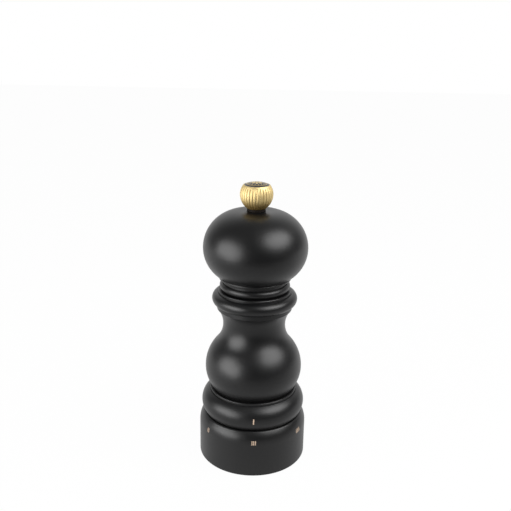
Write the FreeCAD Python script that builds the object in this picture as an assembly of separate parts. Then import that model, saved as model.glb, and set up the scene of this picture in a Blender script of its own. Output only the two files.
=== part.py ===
import FreeCAD, Part
import math
import os

from FreeCAD import Vector

# Pepper mill, in millimetres. +Z is up, the table is z = 0 and the mill's axis is Z.
# Radii are measured from that axis. The front, with the middle setting mark, faces -Y.

# Adjusting ring, the turned foot of the mill
RING_RADIUS = 34.4
RING_HEIGHT = 30.0
RING_SHOULDER_DROP = 8.0      # the shoulder's arc starts this far below the top
RING_SHOULDER_CURVE = 12.5
RING_TOP_ROUND = 1.5
RING_FOOT_ROUND = 0.8
RING_GAP = 0.6                # slip gap between the ring and the body

# Turned body, each height measured from the feature below it
BEAD_RADIUS = 33.0
BEAD_CURVE = 10.0
BEAD_MID_RISE = 6.1
BEAD_HEIGHT = 14.6
STEP_RADIUS = 27.8
STEP_HEIGHT = 1.7
STEP_ROUND = 0.6
BULB_RADIUS = 30.7
BULB_MID_RISE = 13.85
BULB_LOWER_CURVE = 22.0
BULB_UPPER_CURVE = 25.0
WAIST_RADIUS = 19.6
WAIST_RISE = 28.75
COVE_RISE = 10.8
COLLAR_FILLET_RADIUS = 23.5
COLLAR_RADIUS = 26.6
COLLAR_CURVE = 4.1
COLLAR_RISE = 17.4
TOP_FILLET_RADIUS = 22.8
TOP_FILLET_LEDGE = 0.6
BODY_TOP_RISE = 5.8
BODY_TOP_ROUND = 0.5
RESERVOIR_RADIUS = 14.8

# Turned head
SPLIT_GAP = 0.35              # slip gap between the body and the head
NECK_BEAD_RADIUS = 21.9
NECK_BEAD_CURVE = 2.7
NECK_BEAD_MID_RISE = 2.2
NECK_BEAD_HEIGHT = 4.5
NECK_COVE_RADIUS = 20.0
NECK_COVE_HEIGHT = 2.3
LIP_RADIUS = 22.4
LIP_HEIGHT = 1.6
LIP_ROUND = 0.5
BALL_RADIUS = 32.2
BALL_MID_RISE = 26.45
BALL_LOWER_CURVE = 21.5
BALL_UPPER_CURVE = 22.9
SPIGOT_RADIUS = 16.8
SPIGOT_LENGTH = 6.0
SPIGOT_CHAMFER = 0.8
SPIGOT_FIT = 0.3
SPIGOT_FLOOR_GAP = 0.65
HEAD_BORE_RADIUS = 4.4
HEAD_TOP_WEB = 6.4            # wood above the wide bore, drilled for the thread only

# Knob
KNOB_RADIUS = 9.5
KNOB_HEIGHT = 15.9
KNOB_MID_RISE = 9.6
KNOB_LOWER_CURVE = 11.5
KNOB_UPPER_CURVE = 10.0
KNOB_FOOT_RADIUS = 5.8
KNOB_RIM_ROUND = 0.3
KNOB_RIM_WIDTH = 0.12
KNOB_RIB_COUNT = 36
KNOB_GROOVE_DEPTH = 0.42
KNOB_GROOVE_SHARE = 0.62      # share of the rib pitch that a groove takes at its mouth
KNOB_GROOVE_END = 0.55        # plain band below the rim
DISC_DEPTH = 1.2
DISC_DOME = 1.1
INSERT_RADIUS = 4.2
INSERT_LENGTH = 8.0
INSERT_RECESS = 0.4
KNOB_WASHER_RADIUS = 5.2
KNOB_WASHER_THICKNESS = 0.6

# Shaft
SHAFT_FOOT = 5.6
SHAFT_SQUARE = 5.0
SHAFT_SQUARE_END = 0.5        # the square stops this far below the head's web
SHAFT_TOP_ROOM = 0.8          # room between the shaft's tip and the knob's roof
SHAFT_END_CHAMFER = 0.6
KNOB_THREAD_RELIEF = 0.1
ROTOR_SQUARE = 3.4

# Drive plate in the head's spigot
DRIVE_PLATE_RADIUS = 12.8
DRIVE_PLATE_THICKNESS = 1.5
DRIVE_SCREW_CIRCLE = 8.6
DRIVE_SCREW_HEAD = 2.2
DRIVE_SCREW_SHANK = 1.1
DRIVE_SCREW_LENGTH = 9.0

# Grinder
ROTOR_RADIUS = 9.0
ROTOR_FINE_HEIGHT = 7.0
ROTOR_COARSE_HEIGHT = 10.0
ROTOR_SLOPE = 0.186           # loss of radius for each unit of height in the fine teeth
ROTOR_TOP_RADIUS = 5.2
ROTOR_TEETH = 20
ROTOR_FLUTES = 5
FINE_TOOTH_DEPTH = 0.7
FLUTE_DEPTH = 1.9
FINE_TWIST = 14.0
FLUTE_TWIST = 60.0
FLUTE_STEPS = 4
GRIND_GAP = 0.45
STATOR_RADIUS = 12.6
STATOR_RISE = 1.2
STATOR_FINE_HEIGHT = 6.0
STATOR_ENTRY_HEIGHT = 6.0
STATOR_ENTRY_RADIUS = 10.8
STATOR_TEETH = 24
STATOR_FLUTES = 8
STATOR_FLUTE_DEPTH = 0.8
ROTOR_WASHER_RADIUS = 4.4
ROTOR_WASHER_THICKNESS = 0.8
ROTOR_NUT_FLATS = 7.0
ROTOR_NUT_HEIGHT = 3.0
ROTOR_NUT_CHAMFER = 0.5
SHAFT_TIP_SHOW = 0.5          # thread showing below the nut

# Stator carrier, its pins and the cam that lifts it
CARRIER_WALL = 4.2
CARRIER_LEDGE_HEIGHT = 1.4
CARRIER_LEDGE_WIDTH = 1.2
FUNNEL_HEIGHT = 4.0
FUNNEL_LIP = 0.8
PIN_RADIUS = 1.5
PIN_HEIGHT = 3.9              # lower pin above the carrier's foot
PIN_SPACING = 8.4             # upper pin above the lower one, on the far side
PIN_ROOT = 3.2                # length of a pin inside the carrier
CAM_DEPTH = 2.2
CAM_LEAD = 3.6                # rise of a cam groove in one full turn
SETTINGS = 6
REST_SETTING = 3
SETTING_PITCH = 56.0

# Mechanism housing
GUIDE_WALL = 2.4
GUIDE_LIP = 0.9
FLANGE_THICKNESS = 3.0
FLANGE_RECESS = 0.2
FLANGE_EDGE = 0.7
HOUSING_NECK = 8.0
HOUSING_SCREW_HEAD = 2.3
HOUSING_SCREW_SHANK = 1.3
HOUSING_SCREW_LENGTH = 11.0
HOUSING_SCREW_INSET = 0.6     # wall between the guide tube and a screw's head

# Bearing spider in the top of the housing
SPIDER_HEIGHT = 3.4
SPOKE_COUNT = 3
SPOKE_WIDTH = 4.0
HUB_RADIUS = 6.4
HUB_DROP = 2.0

# Bush, spring and washers on the shaft
BUSH_WALL = 1.6
BUSH_FLANGE_RADIUS = 5.6
BUSH_FLANGE_THICKNESS = 1.2
SPRING_RADIUS = 3.9
SPRING_WIRE = 0.45
SPRING_TURNS = 4.0
SPRING_WASHER_RADIUS = 5.8
SPRING_WASHER_THICKNESS = 0.7

# Liner of the ring and what holds it
LINER_WALL = 4.4
LINER_FOOT = 7.0
THRUST_WASHER_RADIUS = 29.0
THRUST_PLAY = 0.05
RETAINER_THICKNESS = 0.8
RETAINER_PLAY = 0.2
RETAINER_DEPTH = 0.9
RETAINER_REACH = 1.8
RETAINER_OPENING = 36.0

# Click spring and its notches
CLICK_AZIMUTH = 90.0
LEAF_THICKNESS = 0.35
LEAF_HEIGHT = 3.4
LEAF_HALF_LENGTH = 5.0
LEAF_TOP_GAP = 0.6
CLICK_HALF_WIDTH = 1.5
NOTCH_DEPTH = 0.85
NOTCH_RADIUS = 1.7
POCKET_DEPTH = 1.2
POCKET_MARGIN = 0.5

# Clearances
RUNNING_FIT = 0.05            # turning on a journal
SLIDE_FIT = 0.1               # sliding or turning in a guide
SEAT_FIT = 0.05               # pressed, glued or clamped pieces
HOLE_FIT = 0.3                # a rod passing freely through a hole
PIN_FIT = 0.15                # a pin in its slot or groove

# Heights that several pieces share, from the table up
body_foot = RING_HEIGHT + RING_GAP
bead_mid = body_foot + BEAD_MID_RISE
bead_top = body_foot + BEAD_HEIGHT
step_top = bead_top + STEP_HEIGHT
bulb_mid = step_top + BULB_MID_RISE
waist_mid = bulb_mid + WAIST_RISE
cove_top = waist_mid + COVE_RISE
collar_mid = waist_mid + COLLAR_RISE
body_top = collar_mid + BODY_TOP_RISE
head_foot = body_top + SPLIT_GAP
spigot_foot = head_foot - SPIGOT_LENGTH
neck_cove_foot = head_foot + NECK_BEAD_HEIGHT
lip_foot = neck_cove_foot + NECK_COVE_HEIGHT
lip_top = lip_foot + LIP_HEIGHT
ball_mid = head_foot + BALL_MID_RISE
head_top = ball_mid + BALL_UPPER_CURVE
head_web = head_top - HEAD_TOP_WEB
knob_foot = head_top + KNOB_WASHER_THICKNESS
knob_mid = knob_foot + KNOB_MID_RISE
knob_top = knob_foot + KNOB_HEIGHT
insert_foot = knob_foot + INSERT_RECESS
insert_top = insert_foot + INSERT_LENGTH

flange_foot = body_foot + FLANGE_RECESS
flange_top = flange_foot + FLANGE_THICKNESS
housing_top = flange_top + HOUSING_NECK
spider_foot = housing_top - SPIDER_HEIGHT
hub_foot = spider_foot - HUB_DROP
bush_top = housing_top + BUSH_FLANGE_THICKNESS
shaft_shoulder = bush_top + RUNNING_FIT
spring_top = hub_foot - SPRING_WASHER_THICKNESS - RUNNING_FIT

nut_foot = SHAFT_FOOT + SHAFT_TIP_SHOW
nut_top = nut_foot + ROTOR_NUT_HEIGHT
rotor_foot = nut_top + ROTOR_WASHER_THICKNESS
rotor_waist = rotor_foot + ROTOR_FINE_HEIGHT
rotor_top = rotor_waist + ROTOR_COARSE_HEIGHT
stator_foot = rotor_foot + STATOR_RISE
stator_waist = stator_foot + STATOR_FINE_HEIGHT
stator_top = stator_waist + STATOR_ENTRY_HEIGHT
carrier_foot = stator_foot - CARRIER_LEDGE_HEIGHT
carrier_top = stator_top + FUNNEL_HEIGHT
lower_pin = carrier_foot + PIN_HEIGHT
upper_pin = lower_pin + PIN_SPACING
retainer_top = LINER_FOOT - RETAINER_PLAY
retainer_foot = retainer_top - RETAINER_THICKNESS
guide_foot = retainer_foot - GUIDE_LIP

# Radii that several pieces share, from the axis out
journal_radius = SHAFT_SQUARE / 2
knob_thread_radius = SHAFT_SQUARE / 2 - KNOB_THREAD_RELIEF
nut_thread_radius = ROTOR_SQUARE / 2
bush_bore = journal_radius + RUNNING_FIT
bush_radius = bush_bore + BUSH_WALL
stator_seat = STATOR_RADIUS + SEAT_FIT
carrier_radius = stator_seat + CARRIER_WALL
guide_bore = carrier_radius + SLIDE_FIT
guide_radius = guide_bore + GUIDE_WALL
liner_bore = guide_radius + SLIDE_FIT
liner_radius = liner_bore + LINER_WALL
ring_bore = liner_radius + SEAT_FIT
housing_bore = guide_radius + SEAT_FIT
housing_screw_circle = guide_radius + HOUSING_SCREW_INSET + HOUSING_SCREW_HEAD
flange_radius = housing_screw_circle + HOUSING_SCREW_HEAD + FLANGE_EDGE
flange_bore = flange_radius + SEAT_FIT
insert_seat = INSERT_RADIUS + SEAT_FIT
notch_floor = liner_bore + NOTCH_DEPTH

# Travel of the carrier, tied to the settings on the ring
setting_rise = CAM_LEAD * SETTING_PITCH / 360
travel_down = (REST_SETTING - 1) * setting_rise
travel_up = (SETTINGS - REST_SETTING) * setting_rise

ORIGIN = Vector(0, 0, 0)
UP = Vector(0, 0, 1)


class Outline:
    """A closed outline in the XZ half plane, drawn edge by edge and turned about Z."""

    def __init__(self, r, z):
        self.start = Vector(r, 0, z)
        self.last = self.start
        self.edges = []

    def line(self, r, z):
        point = Vector(r, 0, z)
        if (point - self.last).Length > 1e-6:
            self.edges.append(Part.makeLine(self.last, point))
            self.last = point
        return self

    def arc(self, centre, radius, start, end):
        """Arc about a centre between two angles in degrees, reached by a straight line."""
        first, middle, last = (on_circle(centre, radius, a) for a in (start, (start + end) / 2, end))
        self.line(*first)
        points = (self.last, Vector(middle[0], 0, middle[1]), Vector(last[0], 0, last[1]))
        self.edges.append(Part.Arc(*points).toShape())
        self.last = points[2]
        return self

    def face(self):
        self.line(self.start.x, self.start.z)
        return Part.Face(Part.Wire(self.edges))

    def turn(self, angle=360):
        return self.face().revolve(ORIGIN, UP, angle)


def on_circle(centre, radius, angle):
    """Point (r, z) on a circle of the half plane."""
    return (
        centre[0] + radius * math.cos(math.radians(angle)),
        centre[1] + radius * math.sin(math.radians(angle)),
    )


def rise_angle(rise, radius):
    """Angle at which an arc has risen this far above its centre."""
    return math.degrees(math.asin(rise / radius))


def reach_angle(reach, radius):
    """Angle at which an arc is this far out from its centre."""
    return math.degrees(math.acos(reach / radius))


def tube(inner, outer, foot, top):
    return Outline(inner, foot).line(outer, foot).line(outer, top).line(inner, top).turn()


def rod(radius, foot, top):
    return Part.makeCylinder(radius, top - foot, Vector(0, 0, foot))


def square_bar(side, foot, top):
    corner = Vector(-side / 2, -side / 2, foot)
    return Part.makeBox(side, side, top - foot, corner)


def turned_to(shape, azimuth):
    """Copy of a shape turned about the mill's axis."""
    copy = shape.copy()
    copy.rotate(ORIGIN, UP, azimuth)
    return copy


def around(shape, count, first=0.0):
    return [turned_to(shape, first + 360 * i / count) for i in range(count)]


def radial_rod(radius, inner, outer, z):
    return Part.makeCylinder(radius, outer - inner, Vector(inner, 0, z), Vector(1, 0, 0))


def radial_slot(radius, inner, outer, foot, top):
    """Slot with round ends, cut through a wall on the +X side."""
    box = Part.makeBox(outer - inner, 2 * radius, top - foot, Vector(inner, -radius, foot))
    ends = [radial_rod(radius, inner, outer, z) for z in (foot, top)]
    return box.fuse(ends).removeSplitter()


def toothed(count, rings):
    """Solid with straight-sided teeth through rings of (z, tip radius, root radius, twist)."""
    wires = []
    for z, tip, root, twist in rings:
        corners = []
        for i in range(2 * count):
            angle = math.radians(twist) + math.pi * i / count
            radius = root if i % 2 else tip
            corners.append(Vector(radius * math.cos(angle), radius * math.sin(angle), z))
        wires.append(Part.makePolygon(corners + corners[:1]))
    return Part.makeLoft(wires, True, True)


def screw_outline(head, shank, foot, length, grow=0.0):
    """Countersunk screw that points up, with its flat head at the foot."""
    taper = head - shank
    outline = Outline(0, foot).line(head + grow, foot).line(shank + grow, foot + taper)
    outline.line(shank + grow, foot + length - shank)
    return outline.line(0, foot + length + grow).turn()


def slotted_screw(head, shank, foot, length):
    slot = Part.makeBox(2 * head, head / 4, head / 3, Vector(-head, -head / 8, foot))
    return screw_outline(head, shank, foot, length).cut(slot)


def shifted(shape, radius):
    copy = shape.copy()
    copy.translate(Vector(radius, 0, 0))
    return copy


def drive_screw_places(shape):
    return around(shifted(shape, DRIVE_SCREW_CIRCLE), 2)


def housing_screw_places(shape):
    return around(shifted(shape, housing_screw_circle), SPOKE_COUNT, 180 / SPOKE_COUNT)


def tangent_round(outline, centre, curve, rounding, top):
    """A bulge from its widest point up to a flat top, with a smaller tangent round at the edge."""
    angle = rise_angle(top - centre[1] - rounding, curve - rounding)
    edge = on_circle(centre, curve - rounding, angle)
    outline.arc(centre, curve, 0, angle)
    return outline.arc(edge, rounding, angle, 90)


def adjusting_ring():
    shoulder = (RING_RADIUS - RING_SHOULDER_CURVE, RING_HEIGHT - RING_SHOULDER_DROP)
    foot_edge = (RING_RADIUS - RING_FOOT_ROUND, RING_FOOT_ROUND)
    outline = Outline(ring_bore, 0).arc(foot_edge, RING_FOOT_ROUND, -90, 0)
    tangent_round(outline, shoulder, RING_SHOULDER_CURVE, RING_TOP_ROUND, RING_HEIGHT)
    return outline.line(ring_bore, RING_HEIGHT).turn()


def body_outside(outline):
    """Outer profile of the body, from its foot to its top."""
    bead = (BEAD_RADIUS - BEAD_CURVE, bead_mid)
    outline.arc(bead, BEAD_CURVE, rise_angle(body_foot - bead_mid, BEAD_CURVE),
                rise_angle(bead_top - bead_mid, BEAD_CURVE))
    step = (STEP_RADIUS - STEP_ROUND, step_top - STEP_ROUND)
    outline.line(STEP_RADIUS, bead_top).arc(step, STEP_ROUND, 0, 90)

    lower_bulb = (BULB_RADIUS - BULB_LOWER_CURVE, bulb_mid)
    outline.arc(lower_bulb, BULB_LOWER_CURVE, rise_angle(step_top - bulb_mid, BULB_LOWER_CURVE), 0)
    upper_bulb = (BULB_RADIUS - BULB_UPPER_CURVE, bulb_mid)
    inset = WAIST_RADIUS - upper_bulb[0]
    cove_curve = (BULB_UPPER_CURVE**2 - inset**2 - WAIST_RISE**2) / (2 * (inset - BULB_UPPER_CURVE))
    cove = (WAIST_RADIUS + cove_curve, waist_mid)
    lean = math.degrees(math.atan2(WAIST_RISE, cove[0] - upper_bulb[0]))
    outline.arc(upper_bulb, BULB_UPPER_CURVE, 0, lean)
    outline.arc(cove, cove_curve, 180 + lean, 180 - rise_angle(COVE_RISE, cove_curve))

    collar = (COLLAR_RADIUS - COLLAR_CURVE, collar_mid)
    collar_end = TOP_FILLET_RADIUS + TOP_FILLET_LEDGE
    outline.line(COLLAR_FILLET_RADIUS, cove_top)
    outline.arc(collar, COLLAR_CURVE, -reach_angle(COLLAR_FILLET_RADIUS - collar[0], COLLAR_CURVE),
                reach_angle(collar_end - collar[0], COLLAR_CURVE))
    top_edge = (TOP_FILLET_RADIUS - BODY_TOP_ROUND, body_top - BODY_TOP_ROUND)
    outline.line(TOP_FILLET_RADIUS, outline.last.z)
    return outline.arc(top_edge, BODY_TOP_ROUND, 0, 90)


def mill_body():
    spigot_bore = SPIGOT_RADIUS + SPIGOT_FIT
    spigot_floor = spigot_foot - SPIGOT_FLOOR_GAP
    housing_roof = housing_top + SEAT_FIT
    outline = body_outside(Outline(flange_bore, body_foot))
    outline.line(spigot_bore, body_top).line(spigot_bore, spigot_floor)
    outline.line(RESERVOIR_RADIUS, spigot_floor).line(RESERVOIR_RADIUS, housing_roof)
    outline.line(housing_bore, housing_roof).line(housing_bore, flange_top)
    body = outline.line(flange_bore, flange_top).turn()
    screw = screw_outline(HOUSING_SCREW_HEAD, HOUSING_SCREW_SHANK, flange_foot, HOUSING_SCREW_LENGTH, SEAT_FIT)
    return body.cut(housing_screw_places(screw))


def mill_head():
    plate_seat = DRIVE_PLATE_RADIUS + SEAT_FIT
    plate_top = spigot_foot + DRIVE_PLATE_THICKNESS
    outline = Outline(plate_seat, spigot_foot).line(SPIGOT_RADIUS - SPIGOT_CHAMFER, spigot_foot)
    outline.line(SPIGOT_RADIUS, spigot_foot + SPIGOT_CHAMFER).line(SPIGOT_RADIUS, head_foot)

    bead = (NECK_BEAD_RADIUS - NECK_BEAD_CURVE, head_foot + NECK_BEAD_MID_RISE)
    outline.arc(bead, NECK_BEAD_CURVE, rise_angle(-NECK_BEAD_MID_RISE, NECK_BEAD_CURVE),
                rise_angle(NECK_BEAD_HEIGHT - NECK_BEAD_MID_RISE, NECK_BEAD_CURVE))
    cove_curve = NECK_COVE_HEIGHT / 2
    cove = (NECK_COVE_RADIUS + cove_curve, neck_cove_foot + cove_curve)
    outline.line(cove[0] - cove_curve, neck_cove_foot).line(cove[0] - cove_curve, cove[1])
    outline.arc(cove, cove_curve, 180, 90)
    outline.arc((LIP_RADIUS - LIP_ROUND, lip_foot + LIP_ROUND), LIP_ROUND, -90, 0)
    outline.arc((LIP_RADIUS - LIP_ROUND, lip_top - LIP_ROUND), LIP_ROUND, 0, 90)

    lower_ball = (BALL_RADIUS - BALL_LOWER_CURVE, ball_mid)
    upper_ball = (BALL_RADIUS - BALL_UPPER_CURVE, ball_mid)
    outline.arc(lower_ball, BALL_LOWER_CURVE, rise_angle(lip_top - ball_mid, BALL_LOWER_CURVE), 0)
    outline.arc(upper_ball, BALL_UPPER_CURVE, 0, 90)

    thread_bore = knob_thread_radius + HOLE_FIT
    outline.line(thread_bore, head_top).line(thread_bore, head_web)
    outline.line(HEAD_BORE_RADIUS, head_web).line(HEAD_BORE_RADIUS, plate_top)
    head = outline.line(plate_seat, plate_top).turn()
    screw = screw_outline(DRIVE_SCREW_HEAD, DRIVE_SCREW_SHANK, spigot_foot, DRIVE_SCREW_LENGTH, SEAT_FIT)
    return head.cut(drive_screw_places(screw))


def drive_plate():
    top = spigot_foot + DRIVE_PLATE_THICKNESS
    plate = rod(DRIVE_PLATE_RADIUS, spigot_foot, top)
    hole = square_bar(SHAFT_SQUARE + 2 * HOLE_FIT, spigot_foot, top)
    screw = screw_outline(DRIVE_SCREW_HEAD, DRIVE_SCREW_SHANK, spigot_foot, DRIVE_SCREW_LENGTH, SEAT_FIT)
    return plate.cut([hole] + drive_screw_places(screw))


def drive_plate_screws():
    screw = slotted_screw(DRIVE_SCREW_HEAD, DRIVE_SCREW_SHANK, spigot_foot, DRIVE_SCREW_LENGTH)
    return Part.makeCompound(drive_screw_places(screw))


def knob_curves(inset):
    """Centres and radii of the knob's lower and upper bulge, moved inwards by an inset."""
    lower = ((KNOB_RADIUS - KNOB_LOWER_CURVE, knob_mid), KNOB_LOWER_CURVE - inset)
    upper = ((KNOB_RADIUS - KNOB_UPPER_CURVE, knob_mid), KNOB_UPPER_CURVE - inset)
    return lower, upper


def knob_foot_angle():
    centre, curve = knob_curves(0)[0]
    return -reach_angle(KNOB_FOOT_RADIUS - centre[0], curve)


def meridian(inset, azimuth):
    """The two arcs of the knob's side, at an inset from its surface and an azimuth."""
    lower, upper = knob_curves(inset)
    end = rise_angle(knob_top - KNOB_GROOVE_END - knob_mid, KNOB_UPPER_CURVE)
    start = on_circle(*lower, knob_foot_angle())
    outline = Outline(*start).arc(*lower, knob_foot_angle(), 0).arc(*upper, 0, end)
    return [turned_to(edge, azimuth) for edge in outline.edges]


def knob_groove():
    """V-shaped cutter that follows the knob's side between two ribs."""
    half = KNOB_GROOVE_SHARE * 180 / KNOB_RIB_COUNT
    floor = meridian(KNOB_GROOVE_DEPTH, 0)
    left, right = meridian(-KNOB_GROOVE_DEPTH / 2, half), meridian(-KNOB_GROOVE_DEPTH / 2, -half)
    faces = []
    for first, second in ((floor, left), (left, right), (right, floor)):
        faces += [Part.makeRuledSurface(a, b) for a, b in zip(first, second)]
    for side, end in ((0, 0), (1, -1)):
        corners = [wire[side].Vertexes[end].Point for wire in (floor, left, right)]
        faces.append(Part.Face(Part.makePolygon(corners + corners[:1])))
    shell = Part.Shell(faces)
    shell.sewShape()
    cutter = Part.Solid(shell)
    if cutter.Volume < 0:
        cutter.reverse()
    return cutter


def disc_seat():
    """Radius of the recess in the knob's top, inside its narrow rim."""
    centre, curve = knob_curves(0)[1]
    angle = rise_angle(knob_top - knob_mid - KNOB_RIM_ROUND, curve - KNOB_RIM_ROUND)
    return on_circle(centre, curve - KNOB_RIM_ROUND, angle)[0] - KNOB_RIM_WIDTH


def knob():
    lower, upper = knob_curves(0)
    recess = knob_top - DISC_DEPTH
    roof = insert_top + SHAFT_TOP_ROOM
    outline = Outline(insert_seat, knob_foot).line(KNOB_FOOT_RADIUS, knob_foot)
    outline.arc(*lower, knob_foot_angle(), 0)
    tangent_round(outline, *upper, KNOB_RIM_ROUND, knob_top)
    outline.line(disc_seat(), knob_top).line(disc_seat(), recess).line(0, recess)
    shell = outline.line(0, roof).line(insert_seat, roof).turn()
    return shell.cut(around(knob_groove(), KNOB_RIB_COUNT))


def knob_disc():
    radius = disc_seat() - SEAT_FIT
    foot = knob_top - DISC_DEPTH
    curve = (radius**2 + DISC_DOME**2) / (2 * DISC_DOME)
    centre = (0, knob_top + DISC_DOME - curve)
    edge = rise_angle(knob_top - centre[1], curve)
    return Outline(0, foot).line(radius, foot).arc(centre, curve, edge, 90).turn()


def knob_insert():
    return tube(knob_thread_radius + SLIDE_FIT, INSERT_RADIUS, insert_foot, insert_top)


def knob_washer():
    return tube(knob_thread_radius + HOLE_FIT, KNOB_WASHER_RADIUS, head_top, knob_foot)


def shaft():
    square_top = head_web - SHAFT_SQUARE_END
    tip = insert_top
    point = knob_thread_radius - SHAFT_END_CHAMFER
    thread = Outline(0, square_top).line(knob_thread_radius, square_top)
    thread.line(knob_thread_radius, tip - SHAFT_END_CHAMFER).line(point, tip).line(0, tip)
    pieces = [
        square_bar(ROTOR_SQUARE, rotor_foot, rotor_top),
        rod(journal_radius, rotor_top, shaft_shoulder),
        square_bar(SHAFT_SQUARE, shaft_shoulder, square_top),
        thread.turn(),
    ]
    return rod(nut_thread_radius, SHAFT_FOOT, rotor_foot).fuse(pieces)


def shaft_bush():
    outline = Outline(bush_bore, hub_foot).line(bush_radius, hub_foot).line(bush_radius, housing_top)
    outline.line(BUSH_FLANGE_RADIUS, housing_top).line(BUSH_FLANGE_RADIUS, bush_top)
    return outline.line(bush_bore, bush_top).turn()


def fine_radius(z):
    """Radius over the rotor's fine teeth at a height."""
    return ROTOR_RADIUS - ROTOR_SLOPE * (z - rotor_foot)


def rotor():
    waist = fine_radius(rotor_waist)
    fine = toothed(ROTOR_TEETH, [
        (rotor_foot, ROTOR_RADIUS, ROTOR_RADIUS - FINE_TOOTH_DEPTH, 0),
        (rotor_waist, waist, waist - FINE_TOOTH_DEPTH, FINE_TWIST),
    ])
    rings = []
    for step in range(FLUTE_STEPS + 1):
        share = step / FLUTE_STEPS
        tip = waist - FINE_TOOTH_DEPTH + (ROTOR_TOP_RADIUS - waist + FINE_TOOTH_DEPTH) * share
        depth = FLUTE_DEPTH * (1 - share) + FINE_TOOTH_DEPTH * share
        rings.append((rotor_waist + ROTOR_COARSE_HEIGHT * share, tip, tip - depth, FLUTE_TWIST * share))
    cone = fine.fuse(toothed(ROTOR_FLUTES, rings))
    return cone.cut(square_bar(ROTOR_SQUARE + 2 * SEAT_FIT, rotor_foot, rotor_top))


def stator():
    foot = fine_radius(stator_foot) + GRIND_GAP
    waist = fine_radius(stator_waist) + GRIND_GAP
    fine = toothed(STATOR_TEETH, [
        (stator_foot, foot, foot + FINE_TOOTH_DEPTH, 0),
        (stator_waist, waist, waist + FINE_TOOTH_DEPTH, -FINE_TWIST),
    ])
    entry = toothed(STATOR_FLUTES, [
        (stator_waist, waist + STATOR_FLUTE_DEPTH, waist, 0),
        (stator_top, STATOR_ENTRY_RADIUS, STATOR_ENTRY_RADIUS - STATOR_FLUTE_DEPTH, -FINE_TWIST),
    ])
    return rod(STATOR_RADIUS, stator_foot, stator_top).cut([fine, entry])


def rotor_washer():
    return tube(nut_thread_radius + SLIDE_FIT, ROTOR_WASHER_RADIUS, nut_top, rotor_foot)


def rotor_nut():
    corner = ROTOR_NUT_FLATS / math.sqrt(3)
    corners = [Vector(*on_circle((0, 0), corner, 60 * i), nut_foot) for i in range(6)]
    hexagon = Part.Face(Part.makePolygon(corners + corners[:1]))
    body = hexagon.extrude(Vector(0, 0, ROTOR_NUT_HEIGHT))
    dome = Outline(0, nut_foot).line(corner - ROTOR_NUT_CHAMFER, nut_foot)
    dome.line(corner, nut_foot + ROTOR_NUT_CHAMFER).line(corner, nut_top).line(0, nut_top)
    return body.common(dome.turn()).cut(rod(nut_thread_radius + SLIDE_FIT, nut_foot, nut_top))


def spring_washer():
    foot = hub_foot - SPRING_WASHER_THICKNESS
    return tube(journal_radius + HOLE_FIT, SPRING_WASHER_RADIUS, foot, hub_foot)


def spring():
    foot = rotor_top + SPRING_WIRE + RUNNING_FIT
    height = spring_top - SPRING_WIRE - foot
    helix = Part.makeHelix(height / SPRING_TURNS, height, SPRING_RADIUS)
    section = Part.Wire(Part.makeCircle(SPRING_WIRE, Vector(SPRING_RADIUS, 0, 0), Vector(0, 1, 0)))
    coil = Part.Wire(helix.Edges).makePipeShell([section], True, True)
    coil.translate(Vector(0, 0, foot))
    return coil


def stator_carrier():
    ledge = stator_seat - CARRIER_LEDGE_WIDTH
    outline = Outline(ledge, carrier_foot).line(carrier_radius, carrier_foot)
    outline.line(carrier_radius, carrier_top).line(carrier_radius - FUNNEL_LIP, carrier_top)
    outline.line(stator_seat, stator_top).line(stator_seat, stator_foot)
    carrier = outline.line(ledge, stator_foot).turn()
    hole = PIN_RADIUS + SEAT_FIT
    lower = radial_rod(hole, carrier_radius - PIN_ROOT, liner_radius, lower_pin)
    upper = radial_rod(hole, carrier_radius - PIN_ROOT, liner_radius, upper_pin)
    return carrier.cut([lower, turned_to(upper, 180)])


def follower_pins():
    reach = liner_bore + CAM_DEPTH - HOLE_FIT
    lower = radial_rod(PIN_RADIUS, carrier_radius - PIN_ROOT, reach, lower_pin)
    upper = radial_rod(PIN_RADIUS, carrier_radius - PIN_ROOT, reach, upper_pin)
    return Part.makeCompound([lower, turned_to(upper, 180)])


def cam_groove(height, azimuth):
    """Helical groove that lifts a pin as the ring turns from the finest to the coarsest setting."""
    half_width = PIN_RADIUS + PIN_FIT
    end = math.degrees(half_width / liner_bore)
    down = (REST_SETTING - 1) * SETTING_PITCH + end
    sweep = (SETTINGS - 1) * SETTING_PITCH + 2 * end
    inner, outer = liner_bore - SLIDE_FIT, liner_bore + CAM_DEPTH
    helix = Part.makeHelix(CAM_LEAD, CAM_LEAD * sweep / 360, liner_bore)
    corners = [
        Vector(inner, 0, -half_width),
        Vector(outer, 0, -half_width),
        Vector(outer, 0, half_width),
        Vector(inner, 0, half_width),
    ]
    pipe = Part.BRepOffsetAPI.MakePipeShell(Part.Wire(helix.Edges))
    pipe.setBiNormalMode(UP)
    pipe.add(Part.makePolygon(corners + corners[:1]))
    pipe.build()
    pipe.makeSolid()
    groove = pipe.shape()
    groove.translate(Vector(0, 0, height - CAM_LEAD * down / 360))
    return turned_to(groove, azimuth - down)


def ring_liner():
    liner = tube(liner_bore, liner_radius, LINER_FOOT, RING_HEIGHT)
    notch_foot = RING_HEIGHT - LEAF_TOP_GAP - LEAF_HEIGHT - LEAF_TOP_GAP
    notch = shifted(rod(NOTCH_RADIUS, notch_foot, RING_HEIGHT), notch_floor - NOTCH_RADIUS)
    notches = []
    for setting in range(1, SETTINGS + 1):
        notches.append(turned_to(notch, CLICK_AZIMUTH + (setting - REST_SETTING) * SETTING_PITCH))
    return liner.cut([cam_groove(lower_pin, 0), cam_groove(upper_pin, 180)] + notches)


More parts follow.
